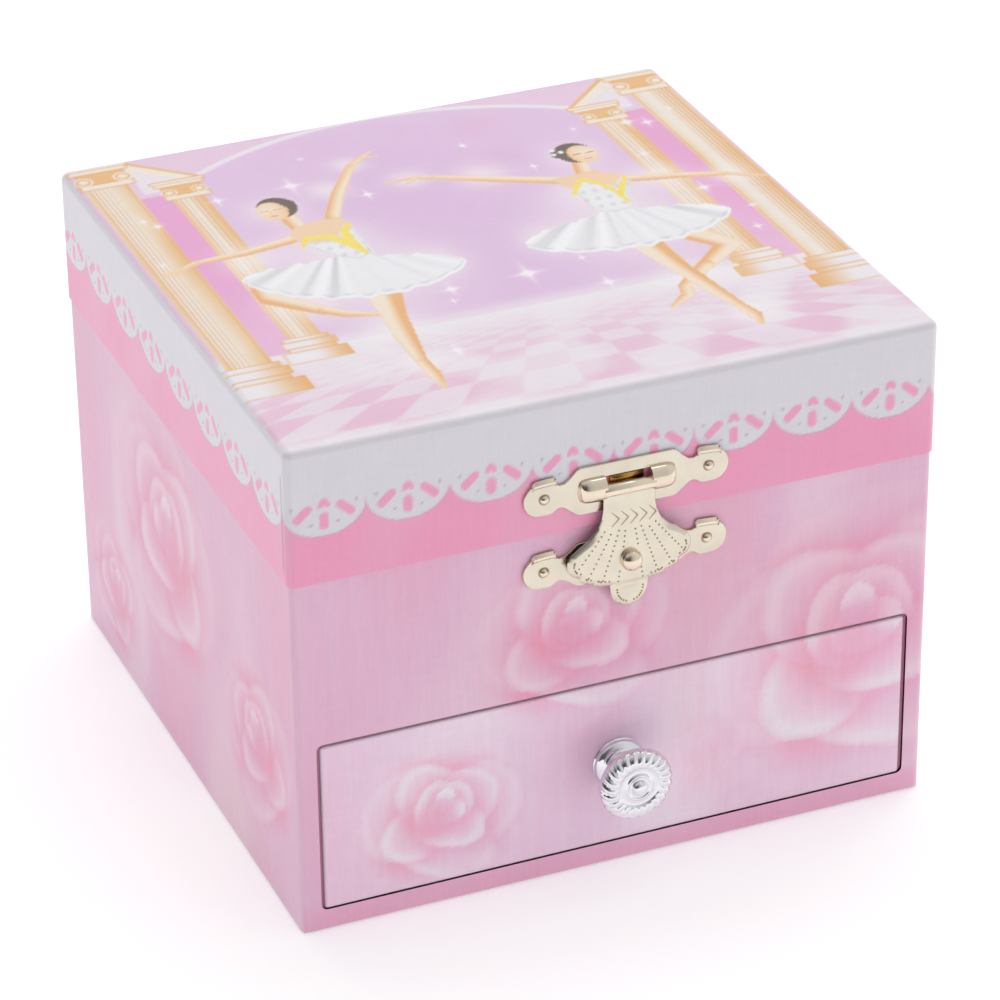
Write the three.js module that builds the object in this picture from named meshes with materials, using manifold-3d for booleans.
// A wind-up musical jewellery box: a paper-covered case with a drawer, a hinged lid
// with a hasp, and a key-wound movement that turns a small folding dancer.
// Millimetres, +Z up. The origin is the centre of the case's underside, the drawer
// faces -Y and the winding key faces +Y.
import * as THREE from "three";
import { mergeVertices } from "three/addons/utils/BufferGeometryUtils.js";
import Module from "manifold-3d";

const wasm = await Module();
wasm.setup();

// ---- Driving dimensions -------------------------------------------------

// Case and lid, outside, with their paper on.
const caseWidth = 149;
const caseDepth = 149;
const caseHeight = 86.2;
const lidOverhang = 0.5;
const lidHeight = 31.8;
const seam = 0.4;
const paper = 0.4;
const caseBoard = 4;
const baseBoard = 5;
const lidSideBoard = 3.6;
const lidTopBoard = 3.6;
const deckBoard = 2;
const shelfBoard = 2.5;

// Drawer.
const drawerOpeningHeight = 41.8;
const drawerSideGap = 1.2;
const drawerTopGap = 0.9;
const drawerFloorGap = 0.3;
const drawerFrontBoard = 3.6;
const drawerBoard = 2.5;
const drawerTrayHeight = 32;
const drawerTrayGap = 1.7;
const drawerBackRoom = 8;
const drawerLining = 1;

// Drawer knob and its screw.
const knobX = -0.2;
const knobDrop = 21.3;
const knobHeadRadius = 8.7;
const knobFlangeRadius = 6;
const knobLength = 13;
const screwRadius = 1.6;
const screwInKnob = 6;

// Upper compartment.
const bayDepth = 58;
const bayHeight = 28.7;
const wellPad = 1.5;
const ringRollCount = 3;
const ringRollLength = 64;
const ringRollThickness = 11;
const ringRollHeight = 17;
const ringRollPitch = 13;
const liningGap = 0.3;

// Lid lining and mirror.
const lidPad = 2;
const mirrorWidth = 96;
const mirrorDepth = 70;
const mirrorThickness = 2;

// Hinges at the back.
const hingeWidth = 24;
const hingeInset = 15.5;
const hingeLeafHeight = 11;
const hingeLeaf = 0.6;
const hingePinRadius = 0.6;
const hingeKnuckleRadius = 1.4;
const hingePinOut = 1.8;
const knuckleGap = 0.3;

// Hasp at the front.
const haspX = 1.2;
const haspPlate = 0.8;
const haspPlateWidth = 47.4;
const haspPlateHeight = 11.2;
const haspWaistWidth = 23.5;
const haspEarHeight = 8.4;
const haspPlateZ = 95.5;
const haspPinDrop = 0.4;
const haspPinRadius = 0.7;
const haspPinOut = 1.7;
const haspRollRadius = 1.5;
const haspRollWidth = 12;
const haspSlotWidth = 12.6;
const haspKnuckleLength = 5.4;
const haspKnuckleRadius = 2.5;
const haspFlapThickness = 0.8;
const haspShellWidth = 28.8;
const haspStudRadius = 2.5;
const haspStudDrop = 17.1;
const strikeZ = 77.6;
const strikeHeight = 10.2;
const nailSpacing = 38;
const nailHeadRadius = 1.6;
const nailShankRadius = 0.6;
const nailLength = 3.6;

// Musical movement.
const plateThickness = 1.8;
const plateMargin = 1.2;
const axleZ = 18.7;
const crownTeeth = 24;
const crownRadius = 8.5;
const crownFace = 1.6;
const pinionTeeth = 8;
const pinionWidth = 5.6;
const pinionShare = 1.5;
const toothDepth = 1.3;
const gearMesh = 0.65;
const spindleTeeth = 18;
const spindleCrownRadius = 6.5;
const barrelLength = 8;
const barrelWall = 1;
const arborRadius = 1.5;
const drumRadius = 6;
const drumLength = 21;
const drumStart = 9;
const drumPinHeight = 0.8;
const drumPinRadius = 0.28;
const shaftRadius = 1;
const combTeeth = 18;
const combThickness = 1;
const combGap = 0.35;
const bracketThickness = 1.6;
const wheelTeeth = 16;
const wheelRadius = 5;
const cradleThickness = 1.8;
const flyRadius = 4.5;
const flyBelow = 12;
const flyAbove = 6.2;
const bladeHeight = 3.4;
const cradleArm = 1.4;
const running = 0.1;

// Dancer.
const foldAngle = 65;
const spindleRise = 2;
const springLength = 9;
const springRadius = 1.7;
const springWire = 0.35;
const springTurns = 7;
const dancerHeight = 39;
const skirtRadius = 11.5;
const skirtInner = 2.9;

// Key.
const keyWidth = 22;
const keyHeight = 13;
const keyThickness = 1.8;
const keyBossRadius = 3;
const keyBossLength = 9;
const keyHoleRadius = 3.6;

// Stop lever.
const stopX = 44;
const stopTilt = 30;
const stopReach = 43;
const stopWire = 0.8;

// ---- Places worked out from them ---------------------------------------

const frontY = -caseDepth / 2;
const backY = caseDepth / 2;
const boardX = caseWidth / 2 - paper;
const boardY = caseDepth / 2 - paper;
const innerX = boardX - caseBoard;
const innerY = boardY - caseBoard;
const shelfBottom = baseBoard + drawerOpeningHeight;
const shelfTop = shelfBottom + shelfBoard;
const deckBottom = shelfTop + bayHeight;
const deckTop = deckBottom + deckBoard;
const bayFront = innerY - bayDepth;
const lidBottom = caseHeight + seam;
const lidTop = lidBottom + lidHeight;
const lidX = caseWidth / 2 + lidOverhang;
const lidY = caseDepth / 2 + lidOverhang;
const lidBoardX = lidX - paper;
const lidBoardY = lidY - paper;
const lidBoardTop = lidTop - paper;
const lidInnerTop = lidBoardTop - lidTopBoard;
const lidInnerX = lidBoardX - lidSideBoard;
const lidInnerY = lidBoardY - lidSideBoard;
const hingePinY = lidY + hingePinOut;
const haspPinY = -lidY - haspPinOut;
const haspPinZ = haspPlateZ - haspPinDrop;
const movementZ = shelfTop + axleZ;
const plateFront = innerY - plateThickness;
const crownTip = plateFront - liningGap - barrelLength - crownFace;
const pitchRadius = (crownRadius * pinionTeeth) / crownTeeth;
const pinionRadius = pitchRadius + gearMesh;
const drumY = crownTip + gearMesh - pinionRadius;
const pinionX = -spindleCrownRadius - pinionShare;
const barrelX = pinionX - pinionShare - crownRadius;
const plateLeft = barrelX - crownRadius - 2;
const plateRight = drumStart + drumLength + 11;
const drumEnd = drumStart + drumLength;
const wheelX = drumEnd + 3.2;
const flyY = drumY - wheelRadius - 2.2;
const spindleY = drumY;
const spindleTip = deckTop + spindleRise;
const bend = THREE.MathUtils.degToRad(foldAngle);
const bendRadius = springLength / bend;
const pivotRise = bendRadius * Math.tan(bend / 2);
const stopY = flyY - 5.5;
const stopZ = shelfTop + 22.7;

// ---- Materials ---------------------------------------------------------

function surface(color, roughness, metalness = 0) {
  return new THREE.MeshStandardMaterial({ color, roughness, metalness });
}
const printedPaper = surface(0xe6b4d2, 0.55);
const lidPaper = surface(0xe0a8d0, 0.5);
const greyBoard = surface(0xb9ad9c, 0.9);
const satin = surface(0xf0bcd6, 0.45);
const mirrorGlass = surface(0xdfe6ea, 0.03, 1);
const nickel = surface(0xd8cbb8, 0.3, 1);
const chrome = surface(0xe8e8ec, 0.12, 1);
const steel = surface(0xb8bbc0, 0.35, 1);
const brass = surface(0xc9a04c, 0.3, 1);
const zinc = surface(0xa7a9ab, 0.5, 1);
const dancerPlastic = surface(0xf3d3c4, 0.4);
const tulle = surface(0xf7d4e4, 0.9);

// ---- Helpers ------------------------------------------------------------

// A solid for cutting and joining, from any closed geometry.
function solid(geometry) {
  const open = geometry.index ? geometry.toNonIndexed() : geometry;
  const bare = new THREE.BufferGeometry();
  bare.setAttribute("position", open.getAttribute("position").clone());
  const merged = mergeVertices(bare, 1e-4);
  const place = merged.attributes.position.array;
  const triangles = [];
  let volume = 0;
  for (let i = 0; i < merged.index.count; i += 3) {
    const [a, b, c] = [0, 1, 2].map((k) => merged.index.array[i + k]);
    if (a === b || b === c || c === a) continue;
    triangles.push(a, b, c);
    const [p, q, r] = [a, b, c].map((k) => new THREE.Vector3().fromArray(place, 3 * k));
    volume += p.dot(q.cross(r));
  }
  if (volume < 0) triangles.reverse();
  return new wasm.Manifold(
    new wasm.Mesh({
      numProp: 3,
      vertProperties: new Float32Array(place),
      triVerts: new Uint32Array(triangles),
    }),
  );
}

function geometryOf(shape) {
  const made = shape.getMesh();
  const geometry = new THREE.BufferGeometry();
  geometry.setAttribute("position", new THREE.BufferAttribute(made.vertProperties, 3));
  geometry.setIndex(new THREE.BufferAttribute(made.triVerts, 1));
  return geometry;
}

function piece(name, geometry, material, at = [0, 0, 0]) {
  const mesh = new THREE.Mesh(geometry, material);
  mesh.name = name;
  mesh.position.set(...at);
  return mesh;
}

function carved(name, shape, material, at) {
  return piece(name, geometryOf(shape), material, at);
}

// A box between two corners.
function block(low, high) {
  const size = high.map((v, k) => v - low[k]);
  const middle = high.map((v, k) => (v + low[k]) / 2);
  return new THREE.BoxGeometry(...size).translate(...middle);
}

function board(name, low, high, material) {
  const size = high.map((v, k) => v - low[k]);
  const middle = high.map((v, k) => (v + low[k]) / 2);
  return piece(name, new THREE.BoxGeometry(...size), material, middle);
}

// Round bars centred on a point, along one axis.
function barX(radius, length, at, sides = 16) {
  return new THREE.CylinderGeometry(radius, radius, length, sides)
    .rotateZ(Math.PI / 2)
    .translate(...at);
}
function barY(radius, length, at, sides = 16) {
  return new THREE.CylinderGeometry(radius, radius, length, sides).translate(...at);
}
function barZ(radius, length, at, sides = 16) {
  return new THREE.CylinderGeometry(radius, radius, length, sides)
    .rotateX(Math.PI / 2)
    .translate(...at);
}

// A turned shape whose profile is [radius, height] pairs; it stands along +Z.
function turned(profile, sides) {
  const points = profile.map(([radius, height]) => new THREE.Vector2(radius, height));
  return new THREE.LatheGeometry(points, sides).rotateX(Math.PI / 2);
}

// A sheet cut to an outline in X and Z, its front at y and its back at y + thickness.
function sheetXZ(outline, y, thickness, curveSegments = 6) {
  return new THREE.ExtrudeGeometry(outline, {
    depth: thickness,
    bevelEnabled: false,
    curveSegments,
  })
    .rotateX(Math.PI / 2)
    .translate(0, y + thickness, 0);
}

function nailHole(x, y, z) {
  return solid(barY(nailShankRadius + running, 2 * nailLength, [x, y, z], 8));
}

// A domed nail pointing +Y, its head resting on the plane y = 0.
function nail(name, x, y, z) {
  const profile = [
    [0, -nailLength],
    [nailShankRadius, -nailLength],
    [nailShankRadius, 0.05],
    [nailHeadRadius, 0.05],
    [nailHeadRadius * 0.8, 0.55],
    [0, 0.8],
  ];
  return piece(name, turned(profile, 12).rotateX(Math.PI / 2), nickel, [x, y, z]);
}

// ---- Case ---------------------------------------------------------------

const nailXs = [-nailSpacing / 2, nailSpacing / 2].map((x) => haspX + x);

function makeCase() {
  const made = new THREE.Group();
  const sideTop = caseHeight;
  made.add(
    board("base_board", [-innerX, -boardY, 0], [innerX, boardY, baseBoard], greyBoard),
    board("left_board", [-boardX, -boardY, 0], [-innerX, boardY, sideTop], greyBoard),
    board("right_board", [innerX, -boardY, 0], [boardX, boardY, sideTop], greyBoard),
    board("shelf_board", [-innerX, -innerY, shelfBottom], [innerX, innerY, shelfTop], greyBoard),
  );

  let front = solid(block([-innerX, -boardY, shelfBottom], [innerX, -innerY, caseHeight]));
  for (const x of nailXs) front = front.subtract(nailHole(x, frontY, strikeZ));
  made.add(carved("front_board", front, greyBoard));

  const back = solid(block([-innerX, innerY, baseBoard], [innerX, boardY, caseHeight]));
  const keyHole = solid(barY(keyHoleRadius, 4 * caseBoard, [barrelX, backY, movementZ], 20));
  made.add(carved("back_board", back.subtract(keyHole), greyBoard));

  const lowest = 0.2;
  const x = caseWidth / 2;
  let wrap = solid(block([-x, frontY, lowest], [x, backY, caseHeight]));
  wrap = wrap.subtract(solid(block([-boardX, -boardY, -1], [boardX, boardY, caseHeight + 1])));
  const mouth = block([-innerX, frontY - 1, baseBoard], [innerX, -innerY, shelfBottom]);
  wrap = wrap.subtract(solid(mouth)).subtract(keyHole);
  for (const nailX of nailXs) wrap = wrap.subtract(nailHole(nailX, frontY, strikeZ));
  made.add(carved("body_wrap", wrap, printedPaper));
  return made;
}

// The raised deck over the movement, the lined well in front of it and its ring rolls.
function makeTray() {
  const made = new THREE.Group();
  const x = innerX - liningGap;
  made.add(
    board("bay_wall", [-x, bayFront - deckBoard, shelfTop], [x, bayFront, deckTop], satin),
  );

  let deck = solid(block([-x, bayFront, deckBottom], [x, innerY - liningGap, deckTop]));
  const deckMiddle = (deckBottom + deckTop) / 2;
  const spindleHole = barZ(shaftRadius + 1, 3 * deckBoard, [0, spindleY, deckMiddle]);
  deck = deck.subtract(solid(spindleHole));
  const tilt = Math.tan(THREE.MathUtils.degToRad(stopTilt));
  const slotFront = stopY - (deckTop - stopZ) * tilt - stopWire - 1;
  const slotBack = stopY + stopWire + 1;
  const half = stopWire + 0.8;
  deck = deck.subtract(
    solid(
      block(
        [stopX - half, slotFront, deckBottom - 1],
        [stopX + half, slotBack, deckTop + 1],
      ),
    ),
  );
  made.add(carved("deck_board", deck, satin));

  const padTop = shelfTop + wellPad;
  const wellFront = -innerY + liningGap;
  const wellBack = bayFront - deckBoard - liningGap;
  made.add(board("well_lining", [-x, wellFront, shelfTop], [x, wellBack, padTop], satin));

  const radius = ringRollThickness / 2;
  const section = new THREE.Shape();
  section.moveTo(-radius, 0);
  section.lineTo(radius, 0);
  section.lineTo(radius, ringRollHeight - radius);
  section.absarc(0, ringRollHeight - radius, radius, 0, Math.PI, false);
  for (let i = 0; i < ringRollCount; i += 1) {
    const roll = new THREE.ExtrudeGeometry(section, {
      depth: ringRollLength,
      bevelEnabled: false,
      curveSegments: 8,
    })
      .rotateX(Math.PI / 2)
      .rotateZ(Math.PI / 2);
    const y = wellFront + radius + 1 + i * ringRollPitch;
    made.add(piece(`ring_roll_${i + 1}`, roll, satin, [-x + 1, y, padTop]));
  }
  return made;
}

// ---- Hinges -------------------------------------------------------------

// Which thirds of the pin carry a leaf's knuckles, as distances from the middle.
const third = hingeWidth / 3;
const outerKnuckles = [
  [-hingeWidth / 2, -third / 2 - knuckleGap / 2],
  [third / 2 + knuckleGap / 2, hingeWidth / 2],
];
const middleKnuckle = [[-third / 2 + knuckleGap / 2, third / 2 - knuckleGap / 2]];

// One leaf in the pin's own frame: the pin along X at the origin, wall at wallY.
function hingeLeafShape(knuckles, wallY, side) {
  const far = side * hingeLeafHeight;
  const near = side * (hingeKnuckleRadius + 0.4);
  const tabEnd = side * knuckleGap;
  const half = hingeWidth / 2;
  const box = (x0, x1, y0, y1, z0, z1) =>
    solid(block([x0, y0, Math.min(z0, z1)], [x1, y1, Math.max(z0, z1)]));
  let leaf = box(-half, half, wallY, wallY + hingeLeaf, near, far);
  for (const [x0, x1] of knuckles) {
    const middle = [(x0 + x1) / 2, 0, 0];
    leaf = leaf.add(box(x0, x1, wallY, -hingePinRadius, tabEnd, near + side));
    leaf = leaf.add(solid(barX(hingeKnuckleRadius, x1 - x0, middle, 20)));
  }
  const pinHole = barX(hingePinRadius + running, hingeWidth + 2, [0, 0, 0], 16);
  return leaf.subtract(solid(pinHole));
}

const hingeSides = [
  ["left", -1],
  ["right", 1],
].map(([name, side]) => [name, side * (caseWidth / 2 - hingeInset - hingeWidth / 2)]);

function makeHinges(leafName, knuckles, wallY, side) {
  const made = new THREE.Group();
  made.position.set(0, hingePinY, lidBottom);
  for (const [name, x] of hingeSides) {
    const leaf = hingeLeafShape(knuckles, wallY, side);
    made.add(carved(`${leafName}_${name}`, leaf, nickel, [x, 0, 0]));
  }
  return made;
}

function makeHingePins() {
  const made = new THREE.Group();
  made.position.set(0, hingePinY, lidBottom);
  for (const [name, x] of hingeSides) {
    made.add(piece(`hinge_pin_${name}`, barX(hingePinRadius, hingeWidth, [0, 0, 0]), steel, [x, 0, 0]));
  }
  return made;
}

// ---- Lid ----------------------------------------------------------------

function makeLid() {
  const made = new THREE.Group();
  made.add(
    board(
      "lid_top_board",
      [-lidBoardX, -lidBoardY, lidInnerTop],
      [lidBoardX, lidBoardY, lidBoardTop],
      greyBoard,
    ),
  );

  let rim = solid(block([-lidBoardX, -lidBoardY, lidBottom], [lidBoardX, lidBoardY, lidInnerTop]));
  const hollow = block([-lidInnerX, -lidInnerY, lidBottom - 1], [lidInnerX, lidInnerY, lidTop]);
  rim = rim.subtract(solid(hollow));
  for (const x of nailXs) rim = rim.subtract(nailHole(x, -lidY, haspPlateZ));
  made.add(carved("lid_rim", rim, greyBoard));

  let wrap = solid(block([-lidX, -lidY, lidBottom], [lidX, lidY, lidTop]));
  const inside = block([-lidBoardX, -lidBoardY, lidBottom - 1], [lidBoardX, lidBoardY, lidBoardTop]);
  wrap = wrap.subtract(solid(inside));
  for (const x of nailXs) wrap = wrap.subtract(nailHole(x, -lidY, haspPlateZ));
  made.add(carved("lid_wrap", wrap, lidPaper));

  const padX = lidInnerX - liningGap;
  const padY = lidInnerY - liningGap;
  const padBottom = lidInnerTop - lidPad;
  made.add(board("lid_lining", [-padX, -padY, padBottom], [padX, padY, lidInnerTop], satin));
  made.add(
    board(
      "mirror",
      [-mirrorWidth / 2, -mirrorDepth / 2, padBottom - mirrorThickness],
      [mirrorWidth / 2, mirrorDepth / 2, padBottom],
      mirrorGlass,
    ),
  );
  return made;
}

// ---- Hasp ---------------------------------------------------------------

// A plate with a square waist and two round-ended ears, centred on the origin.
function earedPlate(height) {
  const waist = haspWaistWidth / 2;
  const half = height / 2;
  const ear = Math.min(haspEarHeight, height) / 2;
  const end = haspPlateWidth / 2 - ear;
  const shape = new THREE.Shape();
  shape.moveTo(-waist, -half);
  shape.lineTo(waist, -half);
  shape.lineTo(waist + 0.8, -ear);
  shape.lineTo(end, -ear);
  shape.absarc(end, 0, ear, -Math.PI / 2, Math.PI / 2, false);
  shape.lineTo(waist + 0.8, ear);
  shape.lineTo(waist, half);
  shape.lineTo(-waist, half);
  shape.lineTo(-waist - 0.8, ear);
  shape.lineTo(-end, ear);
  shape.absarc(-end, 0, ear, Math.PI / 2, (3 * Math.PI) / 2, false);
  shape.lineTo(-waist - 0.8, -ear);
  return shape;
}

function makeHaspPlate() {
  const made = new THREE.Group();
  made.position.set(haspX, 0, haspPlateZ);
  const faceY = -lidY - haspPlate;
  const pinY = haspPinY;
  const pinZ = -haspPinDrop;
  const reach = haspSlotWidth / 2 + haspKnuckleLength / 2;
  let plate = solid(sheetXZ(earedPlate(haspPlateHeight), faceY, haspPlate));
  for (const side of [-1, 1]) {
    const at = [side * reach, -lidY - haspPlate / 2, pinZ];
    plate = plate.add(solid(barX(haspKnuckleRadius, haspKnuckleLength, at, 24)));
  }
  const behind = block([-30, -lidY, -20], [30, -lidY + 10, 20]);
  plate = plate.subtract(solid(behind));
  const slotTop = haspRollRadius + 0.7 - haspPinDrop;
  const slotLow = -haspRollRadius - 1.1 - haspPinDrop;
  const slot = [
    [-haspSlotWidth / 2, -lidY - 10, slotLow],
    [haspSlotWidth / 2, -lidY + 1, slotTop],
  ];
  plate = plate.subtract(solid(block(...slot)));
  const pinHole = barX(haspPinRadius + running, haspWaistWidth + 4, [0, pinY, pinZ], 16);
  plate = plate.subtract(solid(pinHole));
  for (const side of [-1, 1]) {
    plate = plate.subtract(nailHole((side * nailSpacing) / 2, -lidY, 0));
  }
  made.add(carved("hasp_plate", plate, nickel));

  const pinLength = haspSlotWidth + 2 * haspKnuckleLength;
  made.add(piece("hasp_pin", barX(haspPinRadius, pinLength, [0, 0, 0]), steel, [0, pinY, pinZ]));
  for (const [name, side] of [["left", -1], ["right", 1]]) {
    made.add(nail(`hasp_nail_${name}`, (side * nailSpacing) / 2, faceY, 0));
  }
  return made;
}

function makeStrike() {
  const made = new THREE.Group();
  made.position.set(haspX, 0, strikeZ);
  const faceY = frontY - haspPlate;
  let plate = solid(sheetXZ(earedPlate(strikeHeight), faceY, haspPlate));
  for (const side of [-1, 1]) {
    plate = plate.subtract(nailHole((side * nailSpacing) / 2, frontY, 0));
  }
  made.add(carved("strike_plate", plate, nickel));
  for (const [name, side] of [["left", -1], ["right", 1]]) {
    made.add(nail(`strike_nail_${name}`, (side * nailSpacing) / 2, faceY, 0));
  }
  return made;
}

// The flap hangs from its pin, which is the origin here, down to a round thumb tab.
function flapOutline() {
  const neck = haspRollWidth / 2;
  const shell = haspShellWidth / 2;
  const tab = 4.4;
  const shoulderZ = -13.2;
  const shellZ = -18.1;
  const footZ = -22.6;
  const tabZ = -24.4;
  const shape = new THREE.Shape();
  shape.moveTo(-neck, 0);
  shape.lineTo(-neck, -8);
  shape.quadraticCurveTo(-neck - 1.5, -12, -shell, shoulderZ);
  shape.lineTo(-shell, shellZ);
  shape.quadraticCurveTo(-shell + 1, footZ, -tab, footZ);
  shape.lineTo(-tab, tabZ);
  shape.absarc(0, tabZ, tab, Math.PI, 2 * Math.PI, false);
  shape.lineTo(tab, footZ);
  shape.quadraticCurveTo(shell - 1, footZ, shell, shellZ);
  shape.lineTo(shell, shoulderZ);
  shape.quadraticCurveTo(neck + 1.5, -12, neck, -8);
  shape.lineTo(neck, 0);
  return shape;
}

function makeHaspFlap() {
  const made = new THREE.Group();
  made.position.set(haspX, haspPinY, haspPinZ);
  const faceY = -haspFlapThickness;
  let flap = solid(sheetXZ(flapOutline(), faceY, haspFlapThickness));
  flap = flap.add(solid(barX(haspRollRadius, haspRollWidth, [0, 0, 0], 24)));
  flap = flap.subtract(solid(barX(haspPinRadius + running, haspRollWidth + 2, [0, 0, 0], 16)));
  const tailRadius = 1.2;
  const tailHole = barY(tailRadius + running, 4, [0, 0, -haspStudDrop], 16);
  flap = flap.subtract(solid(tailHole));
  made.add(carved("hasp_flap", flap, nickel));

  const ball = 0.62 * haspStudRadius;
  const profile = [
    [0, -haspFlapThickness],
    [tailRadius, -haspFlapThickness],
    [tailRadius, 0.05],
    [haspStudRadius, 0.05],
    [haspStudRadius, 0.05 + 0.5 * ball],
    [0.82 * haspStudRadius, 0.05 + 1.15 * ball],
    [0.45 * haspStudRadius, 0.05 + 1.55 * ball],
    [0, 0.05 + 1.7 * ball],
  ];
  const stud = turned(profile, 20).rotateX(Math.PI / 2);
  made.add(piece("hasp_stud", stud, nickel, [0, faceY, -haspStudDrop]));
  return made;
}

// ---- Drawer -------------------------------------------------------------

function makeDrawer() {
  const made = new THREE.Group();
  const frontX = innerX - drawerSideGap;
  const frontBack = frontY + drawerFrontBoard;
  const low = baseBoard + drawerFloorGap;
  const high = shelfBottom - drawerTopGap;
  const trayX = innerX - drawerTrayGap;
  const trayBack = innerY - drawerBackRoom;
  const trayLow = low + 0.3;
  const trayHigh = trayLow + drawerTrayHeight;
  const floorTop = trayLow + drawerBoard;
  const knobZ = shelfBottom - knobDrop;

  let front = solid(block([-frontX, frontY, low], [frontX, frontBack, high]));
  const screwHole = barY(screwRadius + 0.3, 4 * drawerFrontBoard, [knobX, frontY, knobZ], 16);
  front = front.subtract(solid(screwHole));
  made.add(carved("drawer_front", front, printedPaper));

  const sideX = trayX - drawerBoard;
  const backInner = trayBack - drawerBoard;
  const lining = floorTop + drawerLining;
  made.add(
    board("drawer_left", [-trayX, frontBack, trayLow], [-sideX, trayBack, trayHigh], greyBoard),
    board("drawer_right", [sideX, frontBack, trayLow], [trayX, trayBack, trayHigh], greyBoard),
    board("drawer_back", [-sideX, backInner, trayLow], [sideX, trayBack, trayHigh], greyBoard),
    board("drawer_floor", [-sideX, frontBack, trayLow], [sideX, backInner, floorTop], greyBoard),
  );
  const inset = liningGap;
  made.add(
    board(
      "drawer_liner",
      [-sideX + inset, frontBack + 6, floorTop],
      [sideX - inset, backInner - inset, lining],
      satin,
    ),
  );

  // The knob's profile runs from the bottom of its screw hole round to its nose.
  const hole = screwRadius + 0.2;
  const head = knobHeadRadius;
  const profile = [
    [0, screwInKnob + 0.4],
    [hole, screwInKnob + 0.4],
    [hole, 0.05],
    [knobFlangeRadius, 0.05],
    [knobFlangeRadius, 1.4],
    [0.82 * knobFlangeRadius, 2.2],
    [0.7 * knobFlangeRadius, 4.6],
    [0.86 * knobFlangeRadius, 6],
    [0.86 * head, 7.2],
    [head, 8.8],
    [head, 9.8],
    [0.88 * head, 11.2],
    [0.72 * head, 11.6],
    [0.6 * head, 11],
    [0.34 * head, 11],
    [0.24 * head, 12.3],
    [0, knobLength],
  ];
  const knob = turned(profile, 28).rotateX(Math.PI / 2);
  made.add(piece("drawer_knob", knob, chrome, [knobX, frontY, knobZ]));

  const screwProfile = [
    [0, -1.6],
    [3, -1.2],
    [3, -0.05],
    [screwRadius, -0.05],
    [screwRadius, drawerFrontBoard + screwInKnob],
    [0, drawerFrontBoard + screwInKnob],
  ];
  const screw = turned(screwProfile, 12).rotateX(Math.PI / 2);
  made.add(piece("knob_screw", screw, steel, [knobX, frontBack, knobZ]));
  return made;
}

// ---- Movement -----------------------------------------------------------

function makeFrame() {
  const made = new THREE.Group();
  const low = shelfTop + plateMargin;
  const high = deckBottom - plateMargin;
  const combX0 = drumStart + 0.5;
  const combX1 = drumEnd - 0.5;
  const combTop = movementZ - drumRadius - drumPinHeight - combGap;
  const footTop = low + 4;
  const footFront = drumY + combThickness / 2;

  let plate = solid(block([plateLeft, plateFront, low], [plateRight, innerY, high]));
  plate = plate.add(solid(block([combX0, footFront, low], [combX1, plateFront + 0.5, footTop])));
  const arborHole = barY(arborRadius + running, 20, [barrelX, innerY, movementZ], 20);
  plate = plate.subtract(solid(arborHole));
  for (const x of [combX0 + 4, combX1 - 4]) {
    const thread = barY(1 + running, 8, [x, footFront, (low + footTop) / 2], 10);
    plate = plate.subtract(solid(thread));
  }
  made.add(carved("bedplate", plate, zinc));

  // The comb is one steel plate whose teeth stop just short of the drum's pins.
  const pitch = (combX1 - combX0) / combTeeth;
  const toothWidth = pitch * 0.62;
  const outline = new THREE.Shape();
  outline.moveTo(combX0, low);
  outline.lineTo(combX1, low);
  for (let i = combTeeth - 1; i >= 0; i -= 1) {
    const middle = combX0 + (i + 0.5) * pitch;
    const root = footTop + 0.5 + (i / combTeeth) * 1.2;
    outline.lineTo(middle + toothWidth / 2, root);
    outline.lineTo(middle + toothWidth / 2, combTop);
    outline.lineTo(middle - toothWidth / 2, combTop);
    outline.lineTo(middle - toothWidth / 2, root);
  }
  const combFront = drumY - combThickness / 2;
  let comb = solid(sheetXZ(outline, combFront, combThickness - 0.02));
  for (const x of [combX0 + 4, combX1 - 4]) {
    const hole = barY(1 + running, 8, [x, drumY, (low + footTop) / 2], 10);
    comb = comb.subtract(solid(hole));
  }
  made.add(carved("comb", comb, steel));

  const screwProfile = [
    [0, -3.4],
    [0.9, -3.4],
    [0.9, 0.05],
    [1.9, 0.05],
    [1.9, 0.9],
    [0, 1.1],
  ];
  [combX0 + 4, combX1 - 4].forEach((x, i) => {
    const screw = turned(screwProfile, 12).rotateX(Math.PI / 2);
    const at = [x, combFront, (low + footTop) / 2];
    made.add(piece(`comb_screw_${["left", "right"][i]}`, screw, steel, at));
  });

  // Two plates stand out from the bedplate and carry the drum's shaft.
  const bearing = solid(barX(shaftRadius + running, 120, [0, drumY, movementZ], 20));
  for (const [name, x] of [["left", -1.6], ["right", drumEnd + 0.6]]) {
    const post = block(
      [x, drumY - 3, movementZ - 3.2],
      [x + bracketThickness, plateFront, movementZ + 2.2],
    );
    made.add(carved(`drum_bracket_${name}`, solid(post).subtract(bearing), brass));
  }
  return made;
}

// The governor's cradle: a side plate with two arms for the fly and a stub for the lever.
const cradleX = wheelX + flyRadius + 0.7;
const flyLow = movementZ - flyBelow;
const flyHigh = movementZ + flyAbove;

function makeGovernor() {
  const made = new THREE.Group();
  const sideX = cradleX + cradleThickness;
  const side = block([cradleX, flyY - 2.2, flyLow], [sideX, plateFront, flyHigh]);
  const nose = block([cradleX, stopY - 2.5, stopZ - 2.6], [sideX, flyY, flyHigh]);
  let cradle = solid(side).add(solid(nose));
  for (const z of [flyLow, flyHigh - cradleArm]) {
    const armBlock = block([wheelX - 2, flyY - 1.8, z], [cradleX + 1, flyY + 1.8, z + cradleArm]);
    cradle = cradle.add(solid(armBlock));
  }
  const stubLength = stopX + 1.6 - cradleX;
  const stubAt = [cradleX + stubLength / 2, stopY, stopZ];
  cradle = cradle.add(solid(barX(shaftRadius, stubLength, stubAt, 16)));
  const pivot = barZ(0.5 + running, 30, [wheelX, flyY, movementZ], 12);
  cradle = cradle.subtract(solid(pivot));
  made.add(carved("governor_frame", cradle, brass));
  return made;
}

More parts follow.
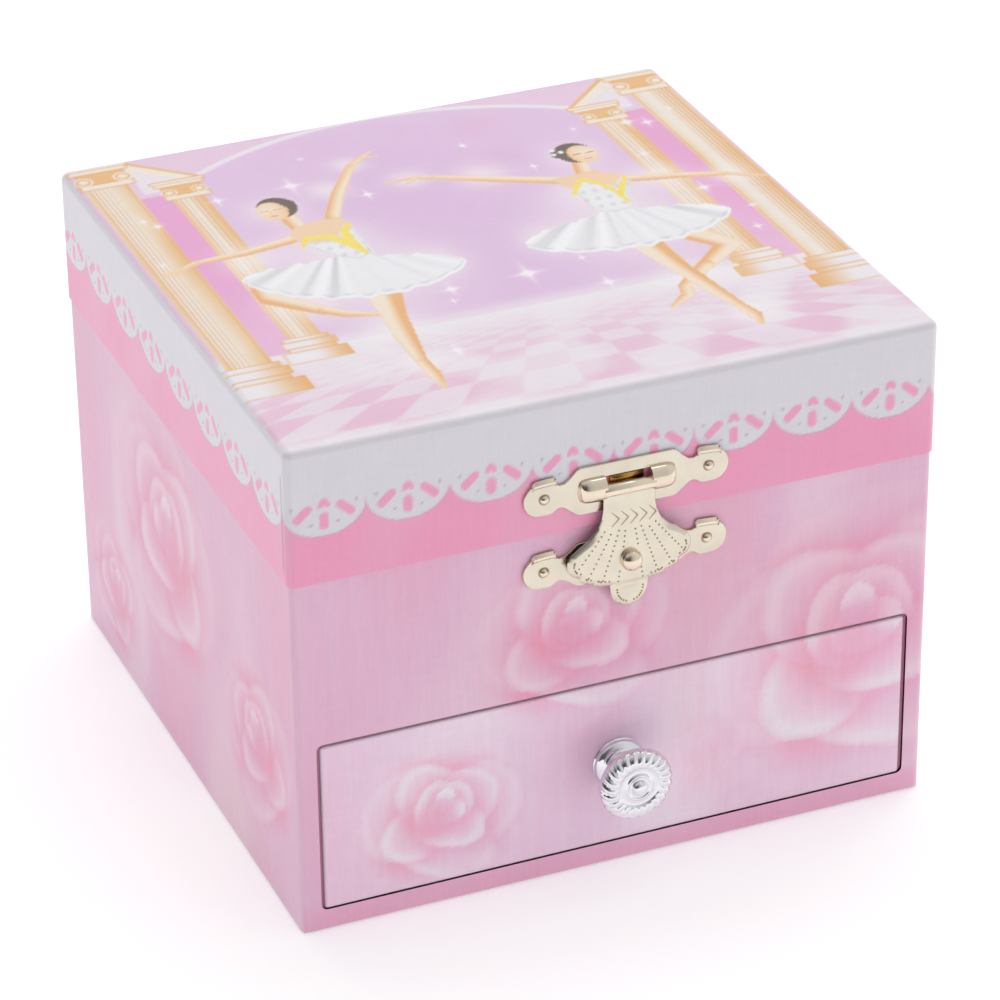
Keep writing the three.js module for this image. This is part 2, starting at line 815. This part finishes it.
// The fly: a thin spindle with a worm in the middle and a two-bladed air brake below it.
function makeFly() {
  const length = flyHigh - flyLow - 0.4;
  const middle = (flyLow + flyHigh) / 2;
  const wormMiddle = movementZ - middle;
  let fly = solid(barZ(0.5, length, [0, 0, 0], 10));
  fly = fly.add(solid(barZ(1, 6.4, [0, 0, wormMiddle], 12)));
  const turns = 3;
  const rise = 5.2;
  const steps = turns * 10;
  const points = Array.from({ length: steps + 1 }, (_, i) => {
    const turn = (i / steps) * turns * 2 * Math.PI;
    return new THREE.Vector3(Math.cos(turn), Math.sin(turn), (i / steps - 0.5) * rise + wormMiddle);
  });
  const ridge = new THREE.Shape([
    new THREE.Vector2(-0.35, -0.35),
    new THREE.Vector2(0.35, -0.35),
    new THREE.Vector2(0.35, 0.35),
    new THREE.Vector2(-0.35, 0.35),
  ]);
  const thread = new THREE.ExtrudeGeometry(ridge, {
    steps,
    extrudePath: new THREE.CatmullRomCurve3(points),
  });
  fly = fly.add(solid(thread));
  const bladeLow = flyLow + cradleArm + 0.6 - middle;
  const blade = block([-flyRadius, -0.3, bladeLow], [flyRadius, 0.3, bladeLow + bladeHeight]);
  fly = fly.add(solid(blade));
  return carved("governor_fly", fly, steel, [wheelX, flyY, middle]);
}

// Spring barrel: a cup open to the bedplate, with crown teeth on its front face.
function makeBarrel() {
  const made = new THREE.Group();
  const outer = crownRadius + 0.8;
  const middleY = crownTip + crownFace + barrelLength / 2;
  made.position.set(barrelX, middleY, movementZ);
  const half = barrelLength / 2;
  const cup = [
    [0, -half],
    [outer, -half],
    [outer, half],
    [outer - barrelWall, half],
    [outer - barrelWall, -half + barrelWall],
    [0, -half + barrelWall],
  ];
  let barrel = solid(turned(cup, 32).rotateX(-Math.PI / 2));
  for (let i = 0; i < crownTeeth; i += 1) {
    const turn = ((i + 0.5) / crownTeeth) * 2 * Math.PI;
    const tooth = block([crownRadius - 0.7, -half - crownFace, -0.3], [outer, -half + 0.2, 0.3]);
    barrel = barrel.add(solid(tooth.rotateY(turn)));
  }
  made.add(carved("spring_barrel", barrel, brass));

  // The mainspring: one flat ribbon wound on a spiral, standing clear of cup and arbor.
  const turns = 4.5;
  const steps = 72;
  const inner = arborRadius + 0.5;
  const reach = outer - barrelWall - 0.6;
  const wall = 0.35;
  const spiral = (extra) =>
    Array.from({ length: steps + 1 }, (_, i) => {
      const turn = (i / steps) * turns * 2 * Math.PI;
      const radius = inner + ((reach - wall - inner) * i) / steps + extra;
      return new THREE.Vector2(radius * Math.cos(turn), radius * Math.sin(turn));
    });
  const ribbon = new THREE.Shape([...spiral(0), ...spiral(wall).reverse()]);
  const spring = new THREE.ExtrudeGeometry(ribbon, {
    depth: barrelLength - barrelWall - 1.2,
    bevelEnabled: false,
  }).rotateX(-Math.PI / 2);
  made.add(piece("mainspring", spring, steel, [0, -half + barrelWall + 0.5, 0]));
  return made;
}

// Drum, pinion and worm wheel on one shaft along X, with the tune in its pins.
function makeDrum() {
  const shaftStart = pinionX - pinionWidth / 2 - 1;
  const shaftEnd = wheelX + 2.4;
  const middle = (shaftStart + shaftEnd) / 2;
  let drum = solid(barX(shaftRadius, shaftEnd - shaftStart, [middle, 0, 0], 16));
  drum = drum.add(solid(barX(drumRadius, drumLength, [(drumStart + drumEnd) / 2, 0, 0], 32)));

  const root = pinionRadius - toothDepth;
  drum = drum.add(solid(barX(root, pinionWidth, [pinionX, 0, 0], 16)));
  for (let i = 0; i < pinionTeeth; i += 1) {
    const tooth = block(
      [pinionX - pinionWidth / 2, -0.3, 0],
      [pinionX + pinionWidth / 2, 0.3, pinionRadius],
    );
    drum = drum.add(solid(tooth.rotateX((i / pinionTeeth) * 2 * Math.PI)));
  }

  drum = drum.add(solid(barX(wheelRadius - 0.9, 2, [wheelX, 0, 0], 24)));
  for (let i = 0; i < wheelTeeth; i += 1) {
    const tooth = block([wheelX - 1, -0.35, 0], [wheelX + 1, 0.35, wheelRadius]);
    drum = drum.add(solid(tooth.rotateX((i / wheelTeeth) * 2 * Math.PI)));
  }

  // Pins: each comb tooth has its own track, and the notes step round by the golden angle.
  const combX0 = drumStart + 0.5;
  const pitch = (drumLength - 1) / combTeeth;
  const notesPerTrack = 3;
  const goldenAngle = Math.PI * (3 - Math.sqrt(5));
  for (let i = 0; i < combTeeth * notesPerTrack; i += 1) {
    const x = combX0 + ((i % combTeeth) + 0.5) * pitch;
    const height = drumPinHeight + 0.4;
    const pin = new THREE.CylinderGeometry(drumPinRadius, drumPinRadius, height, 4)
      .translate(0, drumRadius + drumPinHeight - height / 2, 0)
      .rotateX(i * goldenAngle)
      .translate(x, 0, 0);
    drum = drum.add(solid(pin));
  }
  return carved("pinned_drum", drum, brass, [0, drumY, movementZ]);
}

// The dancer's spindle: a crown gear over the pinion, and a stem up through the deck.
function makeSpindle() {
  const toothTip = movementZ + pinionRadius - gearMesh;
  const gearLow = toothTip + crownFace;
  const outer = spindleCrownRadius + 1;
  let spindle = solid(barZ(outer, 1.2, [0, 0, gearLow + 0.6], 28));
  const stem = spindleTip - gearLow;
  spindle = spindle.add(solid(barZ(shaftRadius, stem, [0, 0, gearLow + stem / 2], 14)));
  for (let i = 0; i < spindleTeeth; i += 1) {
    const turn = ((i + 0.5) / spindleTeeth) * 2 * Math.PI;
    const tooth = block(
      [spindleCrownRadius - 0.8, -0.28, toothTip],
      [outer, 0.28, gearLow + 0.2],
    );
    spindle = spindle.add(solid(tooth.rotateZ(turn)));
  }
  return carved("dancer_spindle", spindle, brass, [0, spindleY, 0]);
}

// The stop lever: a bent wire that the closing lid tips forward on to the fly.
function makeStopLever() {
  const made = new THREE.Group();
  made.position.set(stopX, stopY, stopZ);
  const tilt = THREE.MathUtils.degToRad(stopTilt);
  const padX = wheelX - stopX + 1;
  let lever = solid(barX(2.1, 2.6, [0, 0, 0], 16));
  const upright = barZ(stopWire, stopReach, [0, 0, stopReach / 2], 10).rotateX(tilt);
  lever = lever.add(solid(upright));
  const fall = stopZ - (flyLow + cradleArm + 1.4);
  lever = lever.add(solid(block([-0.8, -0.8, -fall], [0.8, 0.8, 0])));
  lever = lever.add(solid(block([padX, -0.8, -fall], [0.8, 0.8, -fall + 1.6])));
  lever = lever.subtract(solid(barX(shaftRadius + running, 8, [0, 0, 0], 16)));
  made.add(carved("stop_lever", lever, steel));
  return made;
}

// ---- Key ----------------------------------------------------------------

function makeKey() {
  const made = new THREE.Group();
  made.position.set(barrelX, 0, movementZ);
  const arborStart = crownTip + crownFace + barrelWall + 0.4;
  const arborEnd = backY + 2;
  const arborLength = arborEnd - arborStart;
  const arborAt = [0, (arborStart + arborEnd) / 2, 0];
  made.add(piece("winding_arbor", barY(arborRadius, arborLength, [0, 0, 0], 16), steel, arborAt));

  // A flat butterfly grip on a round boss that is bored for the arbor. The grip stands
  // on edge, so that its plane holds the arbor's axis.
  const lobe = keyHeight / 2;
  const gripY = backY + keyBossLength + lobe - 2.4;
  let key = solid(barZ(1.7, keyThickness, [0, gripY - lobe + 2.4, 0], 12));
  for (const side of [-1, 1]) {
    const lobeX = side * (keyWidth / 2 - lobe);
    key = key.add(solid(barZ(lobe, keyThickness, [lobeX, gripY, 0], 28)));
  }
  const web = block(
    [lobe - keyWidth / 2, gripY - lobe + 1, -keyThickness / 2],
    [keyWidth / 2 - lobe, gripY + lobe - 3, keyThickness / 2],
  );
  key = key.add(solid(web));
  const bossY = backY + 0.6 + keyBossLength / 2;
  key = key.add(solid(barY(keyBossRadius, keyBossLength, [0, bossY, 0], 20)));
  const bore = barY(arborRadius + running, 3.2, [0, backY + 0.9, 0], 16);
  key = key.subtract(solid(bore));
  made.add(carved("winding_key", key, chrome));
  return made;
}

// ---- Dancer -------------------------------------------------------------

// The coil spring between spindle and dancer, bent over as the closed lid holds it.
function makeSpring() {
  const steps = springTurns * 9;
  const points = Array.from({ length: steps + 1 }, (_, i) => {
    const along = i / steps;
    const turn = along * springTurns * 2 * Math.PI;
    const lean = along * bend;
    const out = springRadius * Math.cos(turn);
    return new THREE.Vector3(
      springRadius * Math.sin(turn),
      -bendRadius * (1 - Math.cos(lean)) + out * Math.cos(lean),
      bendRadius * Math.sin(lean) + out * Math.sin(lean),
    );
  });
  const wire = new THREE.Shape();
  wire.absarc(0, 0, springWire, 0, 2 * Math.PI, false);
  const coil = new THREE.ExtrudeGeometry(wire, {
    steps,
    curveSegments: 4,
    extrudePath: new THREE.CatmullRomCurve3(points),
  });
  return piece("dancer_spring", coil, steel, [0, spindleY, spindleTip + springWire + 0.1]);
}

// A straight limb between two points, rounded at both ends.
function limb(from, to, fromRadius, toRadius) {
  const a = new THREE.Vector3(...from);
  const b = new THREE.Vector3(...to);
  const along = b.clone().sub(a);
  const length = along.length();
  const turn = new THREE.Quaternion().setFromUnitVectors(
    new THREE.Vector3(0, 1, 0),
    along.normalize(),
  );
  const middle = a.clone().add(b).multiplyScalar(0.5);
  const shaft = new THREE.CylinderGeometry(toRadius, fromRadius, length, 8)
    .applyQuaternion(turn)
    .translate(...middle.toArray());
  const start = new THREE.SphereGeometry(fromRadius, 8, 4).translate(...from);
  const end = new THREE.SphereGeometry(toRadius, 8, 4).translate(...to);
  return solid(shaft).add(solid(start)).add(solid(end));
}

// The dancer stands along +Z from the point where her spring's two ends would meet.
function makeDancer() {
  const made = new THREE.Group();
  made.position.set(0, spindleY, spindleTip + pivotRise);
  made.rotation.x = bend;
  const foot = pivotRise + 1.4;
  const waist = foot + dancerHeight * 0.5;
  const shoulder = foot + dancerHeight * 0.71;
  const head = foot + dancerHeight * 0.86;

  let figure = solid(barZ(1.2, 2, [0, 0, foot + 1], 12));
  figure = figure.add(limb([0, 0, foot + 2], [0, 0, waist - 8], 0.8, 1.2));
  figure = figure.add(limb([0, 0, waist - 8], [0, 0, waist - 1], 1.2, 1.9));
  figure = figure.add(limb([0, 0, waist - 8], [0.9, 1.6, waist - 15], 1.2, 0.8));
  figure = figure.add(limb([0, 0, waist - 1], [0, 0, waist + 3], 1.9, 1.8));
  figure = figure.add(limb([0, 0, waist + 3], [0, 0, shoulder], 1.8, 2.1));
  figure = figure.add(limb([0, 0, shoulder], [0, 0, head - 2], 1.1, 0.8));
  figure = figure.add(solid(new THREE.SphereGeometry(2.3, 12, 8).translate(0, 0, head)));
  figure = figure.add(solid(new THREE.SphereGeometry(1.2, 8, 6).translate(0, 1.6, head + 1.9)));
  for (const side of [-1, 1]) {
    const elbow = [side * 4.8, -1.2, head + 0.6];
    figure = figure.add(limb([side * 2, 0, shoulder], elbow, 0.8, 0.65));
    figure = figure.add(limb(elbow, [side * 1.9, -1, head + 5.6], 0.65, 0.45));
  }
  made.add(carved("dancer_figure", figure, dancerPlastic));

  const skirt = turned(
    [
      [skirtInner, waist - 0.8],
      [skirtRadius, waist - 3.2],
      [skirtRadius, waist - 2.6],
      [0.6 * skirtRadius, waist - 0.2],
      [skirtInner, waist + 1.2],
      [skirtInner, waist - 0.8],
    ],
    28,
  );
  made.add(piece("dancer_skirt", skirt, tulle));
  return made;
}

// ---- The whole box --------------------------------------------------------

const musicBox = new THREE.Group();
musicBox.add(makeCase());
musicBox.add(makeTray());
musicBox.add(makeStrike());
musicBox.add(makeHinges("hinge_case_leaf", outerKnuckles, backY - hingePinY, -1));
musicBox.add(makeHingePins());
musicBox.add(makeFrame());
musicBox.add(makeGovernor());
musicBox.add(makeFly());
musicBox.add(makeBarrel());
musicBox.add(makeDrum());
musicBox.add(makeSpindle());
musicBox.add(makeStopLever());
musicBox.add(makeKey());
musicBox.add(makeSpring());
musicBox.add(makeDancer());
musicBox.add(makeLid());
musicBox.add(makeHinges("hinge_lid_leaf", middleKnuckle, lidY - hingePinY, 1));
musicBox.add(makeHaspPlate());
musicBox.add(makeHaspFlap());
musicBox.add(makeDrawer());

export default musicBox;
